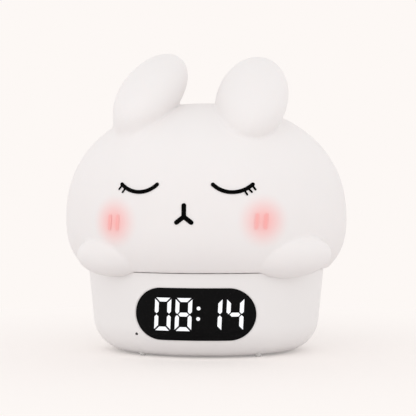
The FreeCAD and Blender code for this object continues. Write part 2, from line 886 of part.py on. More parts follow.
def light_leds():
    # A ring of square light-emitting packages with one in the middle
    places = [(0, 0)] + ring_points(led_count, led_ring_radius, 0, 1)
    return grouped([block(led_size, led_size, led_height, x, y - led_size / 2, light_board_top)
                    for x, y in places])


def tap_sensor():
    # An upright spring capsule that feels a pat on the head
    start = (tap_sensor_x, tap_sensor_y, light_board_top)
    return rod(tap_sensor_radius, start, (tap_sensor_x, tap_sensor_y, light_board_top + tap_sensor_length))


def main_board():
    # The board between the bosses and the deck's posts
    limit = base_form(base_wall + main_board_edge_gap, rim_height)
    plate = Part.makeBox(2 * main_board_half_width, main_board_front + main_board_back, board_thickness,
                         vector(-main_board_half_width, -main_board_front, boss_top))
    clearance = case_screw_radius + case_screw_clearance
    holes = [rod(clearance, (x, y, boss_top - margin), (x, y, main_board_top + margin)) for x, y in posts]
    return plate.common(limit).cut(Part.makeCompound(holes))


def main_chips():
    # Three packages on top of the main board
    return grouped([block(chip_size, chip_size, chip_height, step * chip_spacing, chip_y - chip_size / 2,
                          main_board_top) for step in (-1, 0, 1)])


def base_reach(inset, x, height):
    # How far the base reaches from the XZ plane at a place: its half width there, narrowed, as an ellipse
    taper = math.radians(base_taper)
    corner_height = base_clearance_below + base_corner_radius
    if height > corner_height - base_corner_radius * math.sin(taper):
        half_width = rim_half_width - inset / math.cos(taper) - (rim_height - height) * math.tan(taper)
    else:
        corner_x = rim_half_width - base_corner_radius / math.cos(taper)
        corner_x -= (rim_height - corner_height) * math.tan(taper)
        half_width = corner_x + math.sqrt((base_corner_radius - inset) ** 2 - (corner_height - height) ** 2)
    ratio = (rim_half_depth - inset) / (rim_half_width - inset)
    return ratio * math.sqrt(half_width ** 2 - x ** 2)


def button_parts():
    # For each button: the cap with flange and stem, and the switch plunger it pushes
    nodes = {}
    cases = []
    proud = base_form(-button_proud, rim_height)
    wall_inside = base_form(base_wall + button_flange_gap, rim_height)
    flange_back = base_form(base_wall + button_flange_gap + button_flange_thickness, rim_height)
    switch_back = switch_front + switch_depth
    plunger_end = switch_back + plunger_stand_out
    switch_tall = button_height + switch_size / 2 - main_board_top
    for name, x in zip(button_names, button_places):
        cap = rod(button_radius, (x, rim_half_depth / 2, button_height), (x, far, button_height))
        cap = cap.common(proud).cut(flange_back)
        rim = rod(button_radius + button_flange, (x, rim_half_depth / 2, button_height),
                  (x, far, button_height))
        rim = rim.common(wall_inside).cut(flange_back)
        stem_end = base_reach(base_wall + button_flange_gap + button_flange_thickness / 2,
                              abs(x) + button_stem_radius, button_height)
        stem = rod(button_stem_radius, (x, plunger_end, button_height), (x, stem_end, button_height))
        nodes[name + "_button"] = joined([cap, rim, stem])
        start = (x, plunger_end - plunger_length, button_height)
        nodes[name + "_plunger"] = rod(plunger_radius, start, (x, plunger_end, button_height))
        case = block(switch_size, switch_depth, switch_tall, x, switch_front, main_board_top)
        bore_start = (x, plunger_end - plunger_length - button_travel - plunger_fit, button_height)
        bore = rod(plunger_radius + plunger_fit, bore_start, (x, far, button_height))
        cases.append(case.cut(bore))
    nodes["tact_switches"] = grouped(cases)
    return nodes


def port():
    # A flat charging receptacle with its tongue
    back = port_mouth - port_length
    shell = stadium(port_width, port_tall, 0, lower_row_height, back, port_mouth)
    inner_width = port_width - 2 * port_shell
    inner_tall = port_tall - 2 * port_shell
    floor_y = port_mouth - port_depth
    hollow = stadium(inner_width, inner_tall, 0, lower_row_height, floor_y, port_mouth + margin)
    tongue = block(port_tongue_width, port_tongue_length + port_shell, port_tongue_thickness, 0,
                   floor_y - port_shell, lower_row_height - port_tongue_thickness / 2)
    return joined([shell.cut(hollow), tongue])


def slider_parts():
    # The power switch: a case under the main board and a knob that reaches through the wall
    case_front = slider_case_back - slider_case_depth
    case_low = boss_top - slider_case_tall
    middle = slider_x + slider_travel / 2
    case = block(slider_case_width, slider_case_depth, slider_case_tall, middle, case_front, case_low)
    track_width = slider_width + slider_travel + 2 * slider_fit
    track = block(track_width, slider_case_depth, slider_tall + 2 * slider_fit, middle,
                  case_front + slider_case_wall, lower_row_height - slider_tall / 2 - slider_fit)
    proud = base_form(-slider_proud, rim_height)
    knob = block(slider_width, far, slider_tall, slider_x, case_front + slider_case_wall + slider_fit,
                 lower_row_height - slider_tall / 2).common(proud)
    return {"power_switch_case": case.cut(track), "power_switch_knob": knob}


def speaker():
    # A flat round speaker over the grille
    low = cover_top + speaker_gap
    body = rod(speaker_radius, (0, 0, low), (0, 0, low + speaker_tall))
    cone = Part.makeCone(speaker_cone_radius, speaker_cone_inner_radius, speaker_cone_depth,
                         vector(0, 0, low))
    return body.cut(cone)


tray_low = deck_low - battery_tall - 2 * battery_fit - tray_wall


def battery_tray():
    # An open box glued under the deck
    length = battery_length + 2 * (battery_fit + tray_wall)
    width = battery_width + 2 * (battery_fit + tray_wall)
    outer = block(length, width, deck_low - tray_low, 0, -width / 2, tray_low)
    inner = block(length - 2 * tray_wall, width - 2 * tray_wall, far, 0, -width / 2 + tray_wall,
                  tray_low + tray_wall)
    notch = Part.makeBox(4 * tray_wall, tray_notch_width, tray_notch_tall,
                         vector(-length / 2 - tray_wall, -tray_notch_width / 2, tray_low + tray_wall))
    return outer.cut(inner).cut(notch)


def battery():
    # A soft-pack cell with rounded edges
    low = tray_low + tray_wall
    cell = block(battery_length, battery_width, battery_tall, 0, -battery_width / 2, low)
    long_edges = [edge for edge in cell.Edges if edge.BoundBox.YLength > battery_width / 2]
    return cell.makeFillet(battery_corner, long_edges)


def bent_wire(points, radius, bend):
    # A round wire along straight runs joined by one tangent arc at each corner
    corners = [vector(*point) for point in points]
    edges = []
    start = corners[0]
    for before, corner, after in zip(corners[:-2], corners[1:-1], corners[2:]):
        incoming = (corner - before).normalize()
        outgoing = (after - corner).normalize()
        half_turn = incoming.getAngle(outgoing) / 2
        cut_back = bend * math.tan(half_turn)
        arc_start = corner - incoming * cut_back
        arc_end = corner + outgoing * cut_back
        inward = (outgoing - incoming).normalize()
        middle = corner + inward * (bend / math.cos(half_turn) - bend)
        edges.append(Part.LineSegment(start, arc_start).toShape())
        edges.append(Part.Arc(arc_start, middle, arc_end).toShape())
        start = arc_end
    edges.append(Part.LineSegment(start, corners[-1]).toShape())
    path = Part.Wire(edges)
    ring = Part.Wire([Part.Circle(corners[0], corners[1] - corners[0], radius).toShape()])
    tube = path.makePipeShell([ring], True, False)
    expected = math.pi * radius ** 2 * path.Length
    print("wire volume share", round(tube.Volume / expected, 4))
    return tube


def wire_pair(points, bend):
    # The same route twice, side by side in Y
    shapes = []
    for side in (-0.5, 0.5):
        route = [(x, y + side * wire_spacing, z) for x, y, z in points]
        shapes.append(bent_wire(route, wire_radius, bend))
    return grouped(shapes)


def wiring():
    # The leads that the clock holds inside: battery, speaker, light and the flat display lead
    battery_end = -battery_length / 2
    battery_middle = tray_low + tray_wall + battery_tall / 3
    drop_x = battery_end - battery_wire_reach
    nodes = {"battery_leads": wire_pair([(battery_end, 0, battery_middle), (drop_x, 0, battery_middle),
                                         (drop_x, 0, main_board_top)], battery_wire_bend)}
    start_x = -(speaker_radius + speaker_cone_radius) / 2
    end_x = start_x - speaker_wire_shift
    speaker_top = cover_top + speaker_gap + speaker_tall
    nodes["speaker_leads"] = wire_pair([(start_x, 0, speaker_top),
                                        (start_x, 0, speaker_top + speaker_wire_end),
                                        (end_x, 0, boss_top - speaker_wire_end), (end_x, 0, boss_top)],
                                       speaker_wire_bend)
    middle_height = (main_board_top + light_board_low) / 2
    nodes["light_leads"] = wire_pair([(0, wire_hole_y, main_board_top),
                                      (0, wire_hole_y, main_board_top + light_wire_end),
                                      (light_wire_slack, wire_hole_y, middle_height),
                                      (0, wire_hole_y, light_board_low - light_wire_end),
                                      (0, wire_hole_y, light_board_low)], light_wire_bend)
    nodes["display_ribbon"] = display_ribbon()
    return nodes


def display_ribbon():
    # A flat flexible lead from the display board down to the main board
    start_y = -module_back + board_thickness
    turn_y = start_y + ribbon_run
    high = main_board_top + ribbon_height
    low_y = turn_y + ribbon_slope
    end_y = low_y + ribbon_foot
    thick = ribbon_thickness
    points = [(start_y, high), (turn_y, high), (low_y, main_board_top + thick),
              (end_y, main_board_top + thick), (end_y, main_board_top),
              (low_y - thick / 2, main_board_top), (turn_y - thick / 2, high - thick),
              (start_y, high - thick)]
    corners = [vector(-ribbon_width / 2, y, z) for y, z in points]
    face = Part.Face(Part.makePolygon(corners + corners[:1]))
    return face.extrude(vector(ribbon_width, 0, 0))


def all_parts():
    # Every node of the clock by name
    nodes = {}
    nodes.update(head_parts())
    nodes["base_shell"] = base_shell()
    nodes.update(display_parts())
    nodes["microphone"] = microphone()
    nodes["bottom_cover"] = bottom_cover()
    nodes["case_screws"] = case_screws()
    nodes["rubber_feet"] = rubber_feet()
    nodes["top_deck"] = top_deck()
    nodes["clamp_ring"] = clamp_ring()
    nodes["clamp_screws"] = clamp_screws()
    nodes["diffuser_dome"] = diffuser_dome()
    nodes["light_board"] = light_board()
    nodes["light_board_screws"] = light_board_screws()
    nodes["light_leds"] = light_leds()
    nodes["tap_sensor"] = tap_sensor()
    nodes["main_board"] = main_board()
    nodes["main_chips"] = main_chips()
    nodes.update(button_parts())
    nodes["charging_port"] = port()
    nodes.update(slider_parts())
    nodes["speaker"] = speaker()
    nodes["battery_tray"] = battery_tray()
    nodes["battery"] = battery()
    nodes.update(wiring())
    return nodes


os.makedirs("parts", exist_ok=True)
for node_name, node_shape in all_parts().items():
    node_shape.exportStep("parts/" + node_name + ".step")
    print(node_name, len(node_shape.Solids), round(node_shape.Volume, 1), node_shape.isValid())
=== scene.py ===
import math

import bpy
import numpy as np
from mathutils import Matrix, Vector


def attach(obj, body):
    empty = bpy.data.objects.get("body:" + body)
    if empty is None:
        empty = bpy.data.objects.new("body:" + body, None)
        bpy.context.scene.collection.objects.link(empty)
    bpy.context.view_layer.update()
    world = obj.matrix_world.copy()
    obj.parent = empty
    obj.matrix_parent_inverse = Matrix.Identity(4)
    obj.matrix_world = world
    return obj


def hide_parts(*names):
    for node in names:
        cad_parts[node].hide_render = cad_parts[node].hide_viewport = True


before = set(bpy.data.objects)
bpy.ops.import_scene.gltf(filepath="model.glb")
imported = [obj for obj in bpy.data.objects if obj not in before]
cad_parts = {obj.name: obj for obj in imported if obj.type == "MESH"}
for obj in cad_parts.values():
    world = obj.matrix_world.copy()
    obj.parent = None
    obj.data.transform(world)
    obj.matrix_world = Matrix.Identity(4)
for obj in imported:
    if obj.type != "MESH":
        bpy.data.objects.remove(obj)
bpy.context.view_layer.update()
mm = 0.001  # the shapes below are worked out in millimetres, the scene is in metres
grainDepth = 0.1  # depth of a surface's bump, as a share of its grain


def toLinear(hexColour):
    # sRGB hex to linear light, channel by channel: c / 12.92 when dark, else ((c + 0.055) / 1.055)^2.4
    channels = [int(hexColour[i:i + 2], 16) / 255 for i in (0, 2, 4)]
    return [c / 12.92 if c <= 0.04045 else ((c + 0.055) / 1.055) ** 2.4 for c in channels] + [1.0]


def addNode(tree, kind, inputs=None, **settings):
    # one node with its settings; each input is a plain value or the output that feeds it
    node = tree.nodes.new(kind)
    for key, value in settings.items():
        setattr(node, key, value)
    for socket, value in (inputs or {}).items():
        if isinstance(value, bpy.types.NodeSocket):
            tree.links.new(value, node.inputs[socket])
        else:
            node.inputs[socket].default_value = value
    return node


def newMaterial(name):
    # an empty node material and its tree
    material = bpy.data.materials.new(name)
    material.use_nodes = True
    material.node_tree.nodes.clear()
    return material, material.node_tree


def mouldedFinish(name, look):
    # colour and polish wander over patches and a bump follows the grain, all on object coordinates;
    # a noise has the scale 1 / size, with the sizes of patch and grain in millimetres
    material, tree = newMaterial(name)
    place = addNode(tree, "ShaderNodeTexCoord").outputs["Object"]
    broad = addNode(tree, "ShaderNodeTexNoise",
                    {"Scale": 1 / (look["patch"] * mm), "Detail": 3.0, "Vector": place}).outputs["Fac"]
    fine = addNode(tree, "ShaderNodeTexNoise",
                   {"Scale": 1 / (look["grain"] * mm), "Detail": 2.0, "Vector": place}).outputs["Fac"]
    tint = addNode(tree, "ShaderNodeMix",
                   {"A": toLinear(look["colour"]), "B": toLinear(look["shade"]), "Factor": broad},
                   data_type="RGBA").outputs["Result"]
    if "blush" in look:
        tint = cheekTint(tree, place, tint, look["blush"])
    smoothest, roughest = look["roughness"]
    polish = addNode(tree, "ShaderNodeMapRange",
                     {"Value": broad, "To Min": smoothest, "To Max": roughest}).outputs["Result"]
    bump = addNode(tree, "ShaderNodeBump",
                   {"Strength": look["bump"], "Distance": look["grain"] * mm * grainDepth,
                    "Height": fine}).outputs["Normal"]
    shader = addNode(tree, "ShaderNodeBsdfPrincipled",
                     {"Base Color": tint, "Roughness": polish, "Normal": bump, **look["sockets"]})
    addNode(tree, "ShaderNodeOutputMaterial", {"Surface": shader.outputs["BSDF"]})
    return material


def dress(material, *nodeNames):
    # gives CAD nodes their finish
    for nodeName in nodeNames:
        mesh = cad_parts[nodeName].data
        if not mesh.materials:
            mesh.materials.append(material)
        for index in range(len(mesh.materials)):
            mesh.materials[index] = material


# The skin: head, ears and paws as one blended form

# lengths in millimetres, heights above the table
skin = {
    # the head is widest at middle, and rises and drops from there by its own curve each way
    "halfWidth": 62.0, "halfDepth": 52.0, "middle": 58.2,
    "crownRise": 50.6, "crownPower": 2.22, "chinDrop": 35.2, "chinPower": 2.5,
    # the wall ends at the seam, where a flange turns inwards round the mouth
    "wall": 3.0, "seam": 36.5, "lipBlend": 1.3, "edgeBlend": 0.4,
    "flangeTop": 38.5, "flangeHalfWidth": 43.5, "mouthOverlap": 1.0,
    # the grid's box, a little larger than the head and its ears, and the side of its cells
    "low": (-66.0, -56.0, 30.0), "high": (66.0, 56.0, 137.0), "cell": 1.0,
    # widths of the blends; the outer root of the left ear flows into the head over a wider one
    "earBlend": 1.0, "pawBlend": 0.3, "rootBlend": 9.0, "rootStart": -14.0, "rootRun": 20.0,
    # half sizes, middle, turn about Z, Y and X in degrees
    "ears": [((14.5, 12.1, 28.8), (-23.0, -11.1, 113.1), (-27.1, -18.7, -57.8)),
             ((16.7, 13.5, 28.6), (21.1, -13.0, 109.7), (-15.9, -24.5, -53.6))],
    "paws": [((16.7, 8.9, 9.2), (-35.4, -33.3, 43.4), (-9.8, 0.0, 15.6)),
             ((19.3, 9.1, 9.8), (37.1, -32.5, 43.7), (15.7, -1.5, 26.2))],
}
tub = {"rim": 36.3, "halfWidth": 52.0, "halfDepth": 43.6, "taper": 5.75, "gap": 0.25}


def eggDistance(points, egg, wall=0.0):
    # distance to an ellipsoid: (g - 1) / |grad g|, g = |p / half sizes| in its own frame
    halfSizes, middle, turn = egg
    turns = [Matrix.Rotation(math.radians(a), 3, axis) for a, axis in zip(turn, "ZYX")]
    axes = np.array(turns[0] @ turns[1] @ turns[2])
    sizes = np.array(halfSizes) - wall
    local = (points - np.array(middle)) @ axes
    g = np.sqrt(((local / sizes) ** 2).sum(-1)) + 1e-9
    slope = np.sqrt(((local / sizes ** 2) ** 2).sum(-1)) / g + 1e-9
    return (g - 1) / slope


def headDistance(points, grow=0.0):
    # superellipse of r and height, r narrowed front to back: g = ((r / w)^n + (h / c)^n)^(1 / n)
    width = skin["halfWidth"] + grow
    narrow = (skin["halfDepth"] + grow) / width
    rise = points[..., 2] - skin["middle"]
    power = np.where(rise > 0, skin["crownPower"], skin["chinPower"])
    reach = np.where(rise > 0, skin["crownRise"], skin["chinDrop"]) + grow
    r = np.sqrt(points[..., 0] ** 2 + (points[..., 1] / narrow) ** 2) + 1e-9
    across = r / width
    upward = np.abs(rise) / reach + 1e-9
    g = (across ** power + upward ** power) ** (1 / power)
    outward = (across / g) ** (power - 1) / width
    slopeX = outward * points[..., 0] / r
    slopeY = outward * points[..., 1] / (narrow ** 2 * r)
    slopeZ = (upward / g) ** (power - 1) / reach
    return (g - 1) / np.sqrt(slopeX ** 2 + slopeY ** 2 + slopeZ ** 2)


def ovalReach(points):
    # half width of the tub's oval through each point, sqrt(x^2 + (y / n)^2), and n itself, which is
    # half depth / half width
    narrow = tub["halfDepth"] / tub["halfWidth"]
    return np.sqrt(points[..., 0] ** 2 + (points[..., 1] / narrow) ** 2), narrow


def tubDistance(points):
    # distance outwards from the tub: the greater of height - rim and (r - side) n, where the side
    # tapers downwards as half width - (rim - height) tan(taper)
    r, narrow = ovalReach(points)
    side = tub["halfWidth"] - (tub["rim"] - points[..., 2]) * math.tan(math.radians(tub["taper"]))
    return np.maximum((r - side) * narrow, points[..., 2] - tub["rim"])


def blendJoin(a, b, width):
    # smooth union: min(a, b) less w h^2 / 4, with h = (w - |a - b|) / w where they are within w
    h = np.maximum(width - np.abs(a - b), 0) / width
    return np.minimum(a, b) - h * h * width / 4


def blendCut(a, b, width):
    # smooth intersection, the mirror image of the union
    return -blendJoin(-a, -b, width)


def skinDistance(points):
    # below zero inside the skin: the head with its ears, cut at the seam, with the paws, less the
    # same form one wall further in and less the mouth; what the tub fills, with its gap, goes last.
    # The ears' blend grows by rootBlend s^2 (3 - 2 s), s = (rootStart - x) / rootRun within 0 to 1
    outer = headDistance(points)
    inner = headDistance(points, -skin["wall"])
    root = np.clip((skin["rootStart"] - points[..., 0]) / skin["rootRun"], 0, 1)
    earBlend = skin["earBlend"] + skin["rootBlend"] * root * root * (3 - 2 * root)
    for ear in skin["ears"]:
        outer = blendJoin(outer, eggDistance(points, ear), earBlend)
        inner = blendJoin(inner, eggDistance(points, ear, skin["wall"]), earBlend)
    outer = blendCut(outer, skin["seam"] - points[..., 2], skin["lipBlend"])
    for paw in skin["paws"]:
        outer = blendJoin(outer, eggDistance(points, paw), skin["pawBlend"])
    r, narrow = ovalReach(points)
    hollow = np.maximum(inner, skin["flangeTop"] - points[..., 2])
    mouthTop = skin["flangeTop"] + skin["mouthOverlap"]
    mouth = np.maximum((r - skin["flangeHalfWidth"]) * narrow, points[..., 2] - mouthTop)
    hollow = np.minimum(hollow, mouth)
    solid = blendCut(outer, -hollow, skin["edgeBlend"])
    return blendCut(solid, tub["gap"] - tubDistance(points), skin["edgeBlend"])


def cellSurface(distance, low, high, cell):
    # the zero surface of a distance field as quads: one point per cell that it crosses, at the mean
    # of its edge crossings, and one quad per grid edge that it crosses
    counts = np.ceil((high - low) / cell).astype(int) + 1
    axes = [low[i] + cell * np.arange(counts[i]) for i in range(3)]
    grid = np.stack(np.meshgrid(*axes, indexing="ij"), -1)
    field = distance(grid)
    corners = [(i, j, k) for i in (0, 1) for j in (0, 1) for k in (0, 1)]
    shape = tuple(counts - 1)

    def corner(offset):
        # the field at one corner of every cell
        return field[tuple(slice(start, start + count) for start, count in zip(offset, shape))]

    total = np.zeros(shape + (3,))
    hits = np.zeros(shape)
    for start in corners:
        for axis in range(3):
            if start[axis]:
                continue
            end = tuple(1 if i == axis else start[i] for i in range(3))
            a, b = corner(start), corner(end)
            crossed = (a < 0) != (b < 0)
            share = np.where(crossed, a / np.where(crossed, a - b, 1), 0)
            spot = np.array(start, float) + np.eye(3)[axis] * share[..., None]
            total += spot * crossed[..., None]
            hits += crossed
    live = hits > 0
    number = np.full(shape, -1)
    number[live] = np.arange(live.sum())
    base = np.stack(np.meshgrid(*[a[:-1] for a in axes], indexing="ij"), -1)
    points = base[live] + cell * total[live] / hits[live][:, None]
    quads = []
    for axis in range(3):
        u, v = [i for i in range(3) if i != axis]
        before = [slice(1, -1)] * 3
        before[axis] = slice(0, -1)
        after = list(before)
        after[axis] = slice(1, None)
        a, b = field[tuple(before)], field[tuple(after)]
        spots = np.argwhere((a < 0) != (b < 0))
        rising = (a < 0)[tuple(spots.T)]
        spots = spots + 1
        spots[:, axis] -= 1
        ring = []
        for du, dv in ((-1, -1), (0, -1), (0, 0), (-1, 0)):
            cellAt = spots.copy()
            cellAt[:, u] += du
            cellAt[:, v] += dv
            ring.append(number[tuple(cellAt.T)])
        ring = np.stack(ring, 1)
        flip = rising if axis == 1 else ~rising
        ring[flip] = ring[flip][:, ::-1]
        quads.append(ring)
    return points, np.concatenate(quads)


def settle(points, distance, steps=4, probe=0.02, leastSlope=0.5, longestStep=0.6):
    # walks every point down the field's slope to its zero: p - f grad f / |grad f|^2
    for _ in range(steps):
        slope = np.stack([(distance(points + probe * axis) - distance(points - probe * axis)) / (2 * probe)
                          for axis in np.eye(3)], -1)
        value = distance(points)
        step = slope * (value / np.maximum((slope ** 2).sum(-1), leastSlope ** 2))[:, None]
        points = points - np.clip(step, -longestStep, longestStep)
    return points


def meshPiece(name, points, faces, material):
    # a smooth mesh on the clock's body, from points in millimetres and an array of quads
    mesh = bpy.data.meshes.new(name)
    mesh.from_pydata((points * mm).tolist(), [], faces.tolist())
    mesh.validate()
    mesh.polygons.foreach_set("use_smooth", np.full(len(mesh.polygons), True))
    mesh.materials.append(material)
    piece = bpy.data.objects.new(name, mesh)
    bpy.context.scene.collection.objects.link(piece)
    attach(piece, "clock_body")
    return piece


# moulded silicone: matt and even, a little light inside softens its shadows, with a sprayed blush
siliconeLook = {
    "colour": "F2EEED", "shade": "EEEAE9", "patch": 26.0, "grain": 0.5, "bump": 0.12,
    "roughness": (0.50, 0.60),
    "sockets": {"IOR": 1.41, "Subsurface Weight": 0.05, "Subsurface Scale": 0.002,
                "Subsurface Radius": (1.0, 0.8, 0.7)},
    "blush": {
        "colour": "FFAFAC", "strength": 0.78, "fade": 12.5,
        "spots": [(-34.2, -43.2, 57.7), (28.6, -46.6, 58.4)],
        # the two upright bars of each cheek, in the turned frame of the face
        "barColour": "FF9B96", "barStrength": 0.45, "turn": -4.4, "lean": 4.8, "reach": 2.6,
        "bars": [(-32.9, -42.0, 57.6), (-29.3, -44.0, 57.6), (29.3, -44.0, 58.35), (32.9, -42.0, 58.35)],
        "barCore": 0.2, "barEdge": 1.15, "depthShare": 0.1,
    },
}


def cheekTint(tree, place, tint, blush):
    # a round blush that fades with the distance to the middle of each cheek
    for spot in blush["spots"]:
        away = addNode(tree, "ShaderNodeVectorMath", {0: place, 1: [value * mm for value in spot]},
                       operation="DISTANCE").outputs["Value"]
        fade = addNode(tree, "ShaderNodeMapRange",
                       {"Value": away, "From Min": blush["fade"] * mm, "From Max": 0.0,
                        "To Min": 0.0, "To Max": blush["strength"]},
                       interpolation_type="SMOOTHSTEP").outputs["Result"]
        tint = addNode(tree, "ShaderNodeMix", {"A": tint, "B": toLinear(blush["colour"]), "Factor": fade},
                       data_type="RGBA").outputs["Result"]
    # each bar fades with the distance to its nearest point, the offset with its height held within
    # reach, and depth counts for little because the bars follow the curve of the cheek
    turned = addNode(tree, "ShaderNodeVectorRotate", {"Vector": place, "Angle": -math.radians(blush["turn"])},
                     rotation_type="Z_AXIS").outputs["Vector"]
    reach = blush["reach"] * mm
    for bar in blush["bars"]:
        middle = [value * mm for value in bar]
        upright = addNode(tree, "ShaderNodeVectorRotate",
                          {"Vector": turned, "Center": middle, "Angle": -math.radians(blush["lean"])},
                          rotation_type="Y_AXIS").outputs["Vector"]
        offset = addNode(tree, "ShaderNodeVectorMath", {0: upright, 1: middle},
                         operation="SUBTRACT").outputs["Vector"]
        flat = addNode(tree, "ShaderNodeVectorMath", {0: offset, 1: (1.0, blush["depthShare"], 1.0)},
                       operation="MULTIPLY").outputs["Vector"]
        below = addNode(tree, "ShaderNodeVectorMath", {0: flat, 1: (0.0, 0.0, reach)},
                        operation="MINIMUM").outputs["Vector"]
        nearest = addNode(tree, "ShaderNodeVectorMath", {0: below, 1: (0.0, 0.0, -reach)},
                          operation="MAXIMUM").outputs["Vector"]
        away = addNode(tree, "ShaderNodeVectorMath", {0: flat, 1: nearest},
                       operation="DISTANCE").outputs["Value"]
        fade = addNode(tree, "ShaderNodeMapRange",
                       {"Value": away, "From Min": blush["barEdge"] * mm, "From Max": blush["barCore"] * mm,
                        "To Min": 0.0, "To Max": blush["barStrength"]},
                       interpolation_type="SMOOTHSTEP").outputs["Result"]
        tint = addNode(tree, "ShaderNodeMix", {"A": tint, "B": toLinear(blush["barColour"]), "Factor": fade},
                       data_type="RGBA").outputs["Result"]
    return tint


def makeSkin():
    # the field's zero surface on a grid, settled onto the field; it takes the place of the plain skin
    points, quads = cellSurface(skinDistance, np.array(skin["low"]), np.array(skin["high"]), skin["cell"])
    points = settle(points, skinDistance)
    material = mouldedFinish("moulded_silicone_white", siliconeLook)
    piece = meshPiece("silicone_head", points, quads, material)
    dress(material, "cheek_marks")
    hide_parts("head_skin")
    print("skin:", len(points), "points,", len(quads), "quads")


makeSkin()


# Finishes of the CAD pieces

finishes = {
    # moulded ABS with a fine spark texture: dry white with a soft, even sheen
    "moulded_abs_white": {
        "nodes": ["base_shell", "bottom_cover", "top_deck", "clamp_ring", "battery_tray",
                  "alarm_button", "set_button", "down_button", "up_button"],
        "colour": "F0EDEC", "shade": "EDEAE9", "patch": 30.0, "grain": 0.5, "bump": 0.1,
        "roughness": (0.42, 0.5), "sockets": {"IOR": 1.53}},
    # printed silicone ink: flat black strokes that hardly catch the light
    "printed_black_silicone": {
        "nodes": ["eye_left", "eye_right", "mouth"],
        "colour": "020202", "shade": "050505", "patch": 4.0, "grain": 0.4, "bump": 0.1,
        "roughness": (0.5, 0.6), "sockets": {"IOR": 1.41, "Specular IOR Level": 0.04}},
    # polished smoked acrylic: an even, nearly black face with a faint, blurred reflection
    "smoked_acrylic_polished": {
        "nodes": ["display_lens"],
        "colour": "060607", "shade": "080809", "patch": 20.0, "grain": 0.6, "bump": 0.01,
        "roughness": (0.16, 0.22), "sockets": {"IOR": 1.49, "Specular IOR Level": 0.07}},
    # resin bars with no light behind them: all but lost in the dark of the lens
    "unlit_diffuser_resin": {
        "nodes": ["unlit_segments"],
        "colour": "070708", "shade": "09090A", "patch": 8.0, "grain": 0.6, "bump": 0.01,
        "roughness": (0.18, 0.24), "sockets": {"IOR": 1.5, "Specular IOR Level": 0.07}},
    # resin bars lit from behind: flat white figures with crisp edges
    "lit_diffuser_resin": {
        "nodes": ["lit_segments"],
        "colour": "F4F6FA", "shade": "EEF1F6", "patch": 6.0, "grain": 0.6, "bump": 0.02,
        "roughness": (0.3, 0.4),
        "sockets": {"IOR": 1.5, "Emission Color": toLinear("FFFFFF"), "Emission Strength": 0.2}},
    # clear silicone rubber: milky pads that let some of the table through
    "clear_silicone_rubber": {
        "nodes": ["rubber_feet"],
        "colour": "F4F2F0", "shade": "EFEDEB", "patch": 3.0, "grain": 0.5, "bump": 0.05,
        "roughness": (0.18, 0.26), "sockets": {"IOR": 1.41, "Transmission Weight": 0.3}},
    # moulded black ABS: dark grey with a dull, grainy shine
    "moulded_black_abs": {
        "nodes": ["display_module", "main_chips", "tact_switches", "alarm_plunger", "set_plunger",
                  "down_plunger", "up_plunger", "power_switch_knob", "speaker"],
        "colour": "1A1A1B", "shade": "202021", "patch": 6.0, "grain": 0.4, "bump": 0.15,
        "roughness": (0.4, 0.5), "sockets": {"IOR": 1.53}},
    # green solder mask: a deep green lacquer, glossy over the board
    "green_solder_mask": {
        "nodes": ["display_board", "main_board"],
        "colour": "14512C", "shade": "0F4424", "patch": 5.0, "grain": 0.8, "bump": 0.1,
        "roughness": (0.3, 0.4), "sockets": {"IOR": 1.5}},
    # white solder mask: a white lacquer that throws the lamps' light upwards
    "white_solder_mask": {
        "nodes": ["light_board"],
        "colour": "EDEEEE", "shade": "E6E7E8", "patch": 5.0, "grain": 0.8, "bump": 0.1,
        "roughness": (0.3, 0.4), "sockets": {"IOR": 1.5}},
    # zinc plating on steel: cool grey metal with small uneven highlights
    "zinc_plated_steel": {
        "nodes": ["case_screws", "clamp_screws", "light_board_screws", "charging_port", "tap_sensor",
                  "microphone", "power_switch_case"],
        "colour": "BDBFC2", "shade": "A9ABAF", "patch": 2.0, "grain": 0.3, "bump": 0.15,
        "roughness": (0.22, 0.34), "sockets": {"Metallic": 1.0}},
    # opal polypropylene: milky white, soft where light enters it
    "opal_polypropylene": {
        "nodes": ["diffuser_dome"],
        "colour": "F3F2EE", "shade": "ECEBE7", "patch": 15.0, "grain": 0.5, "bump": 0.08,
        "roughness": (0.45, 0.55),
        "sockets": {"IOR": 1.49, "Subsurface Weight": 0.2, "Subsurface Scale": 0.003}},
    # phosphor cast in resin: the yellow window of a white lamp that is off
    "phosphor_resin": {
        "nodes": ["light_leds"],
        "colour": "F1D56B", "shade": "E8C957", "patch": 2.0, "grain": 0.3, "bump": 0.1,
        "roughness": (0.3, 0.45), "sockets": {"IOR": 1.5}},
    # laminated foil: dull silver with a slight crinkle
    "laminated_foil": {
        "nodes": ["battery"],
        "colour": "B9BCC2", "shade": "A6A9B0", "patch": 8.0, "grain": 0.7, "bump": 0.3,
        "roughness": (0.25, 0.4), "sockets": {"Metallic": 0.9}},
    # red PVC drawn over wire: a plain, slightly waxy red
    "red_wire_pvc": {
        "nodes": ["battery_leads", "speaker_leads", "light_leads"],
        "colour": "B3261E", "shade": "A01F18", "patch": 3.0, "grain": 0.4, "bump": 0.05,
        "roughness": (0.35, 0.45), "sockets": {"IOR": 1.52}},
    # polyimide film: smooth amber with a long, soft highlight
    "polyimide_film": {
        "nodes": ["display_ribbon"],
        "colour": "C98A2B", "shade": "B97C22", "patch": 4.0, "grain": 0.5, "bump": 0.08,
        "roughness": (0.25, 0.35), "sockets": {"IOR": 1.6}},
}

for finishName, finishLook in finishes.items():
    dress(mouldedFinish(finishName, finishLook), *finishLook["nodes"])
print("finishes:", len(finishes))


# Floor, light and camera

# lengths in metres, lamp power in watts
stage = {"floorSize": 1.6, "floorColour": "FDF7F4", "backdrop": "FDF8F5", "fadeStart": 0.05, "fadeEnd": 0.22,
         "glowShare": 0.3, "bounce": "F0ECEB", "horizon": 1.35, "zenith": 0.68,
         "keyPower": 2.0, "keySize": 1.2, "keyPlace": (-0.15, -0.9, 1.2), "keyTarget": (0.0, 0.0, 0.06)}


